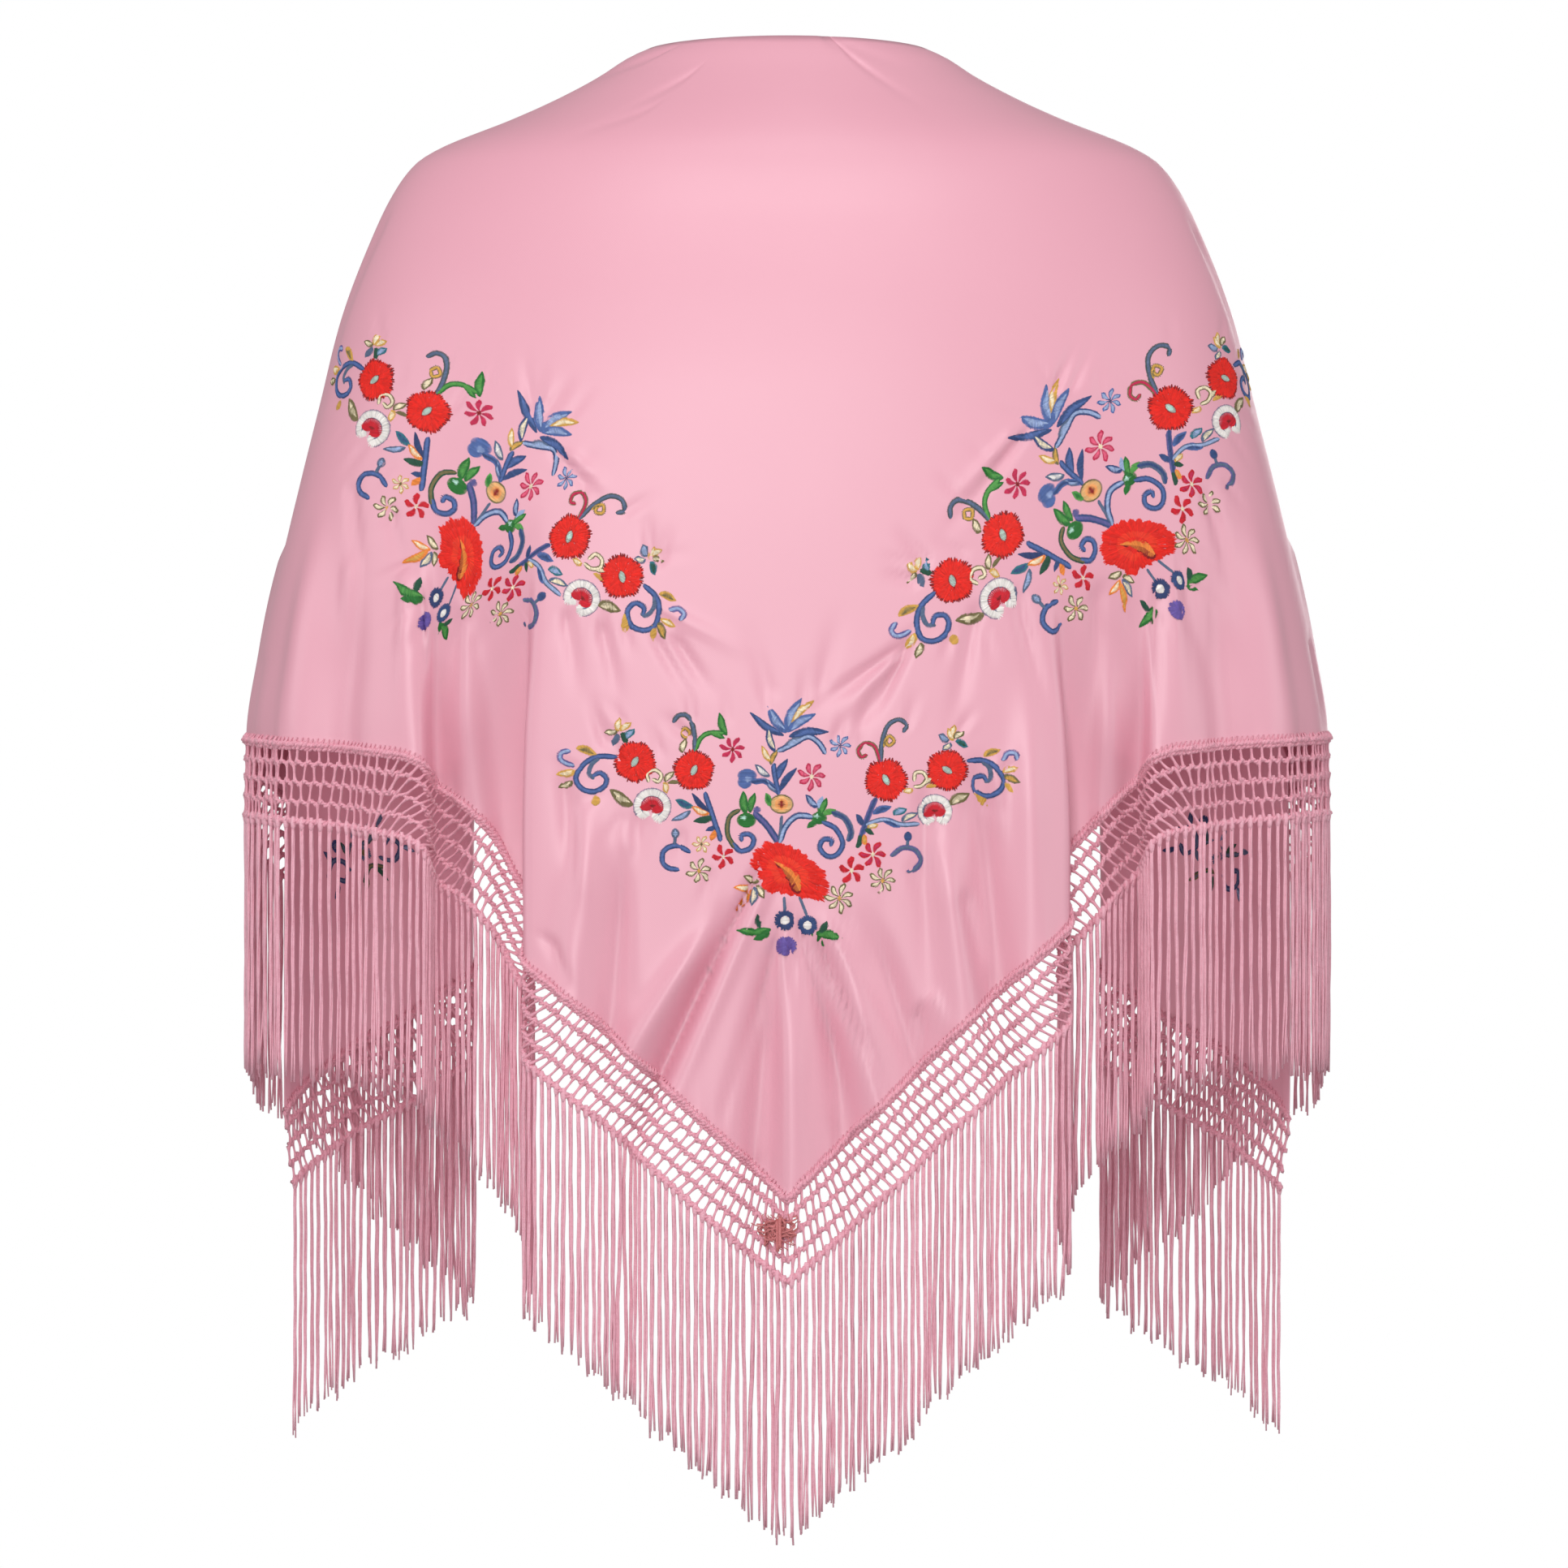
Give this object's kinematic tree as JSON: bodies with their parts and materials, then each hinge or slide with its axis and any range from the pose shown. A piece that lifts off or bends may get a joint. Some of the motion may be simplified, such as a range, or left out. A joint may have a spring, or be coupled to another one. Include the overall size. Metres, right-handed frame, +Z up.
{
  "type": "flamenco shawl",
  "caption": "Triangular satin shawl worn over the shoulders, with its point at the back, a knotted net border and long fringe along both short edges, and front ends turned in.",
  "frame": {"origin": "between the shoulders, at the height where the wearer's shoulders carry the cloth", "axes": "+X to the wearer's right, +Y forward (the back of the shawl faces -Y), +Z up"},
  "size_m": [0.6104, 0.249, 0.8304],
  "materials": {
    "satin": "soft pink crepe satin with a broad sheen",
    "yarn": "dusty rose viscose yarn, twisted, with a slight lustre",
    "embroidery": "satin stitch in shiny thread of many colours"
  },
  "bodies": {
    "root": {"cloth_back": "satin", "cloth_wrap_left": "satin", "cloth_wrap_right": "satin", "cloth_end_left": "satin", "cloth_end_right": "satin", "net_back_left": "yarn", "net_back_right": "yarn", "net_wrap_left": "yarn", "net_wrap_right": "yarn", "net_end_left": "yarn", "net_end_right": "yarn", "fringe_back_left": "yarn", "fringe_back_right": "yarn", "fringe_wrap_left": "yarn", "fringe_wrap_right": "yarn", "fringe_end_left": "yarn", "fringe_end_right": "yarn"}
  },
  "joints": []
}
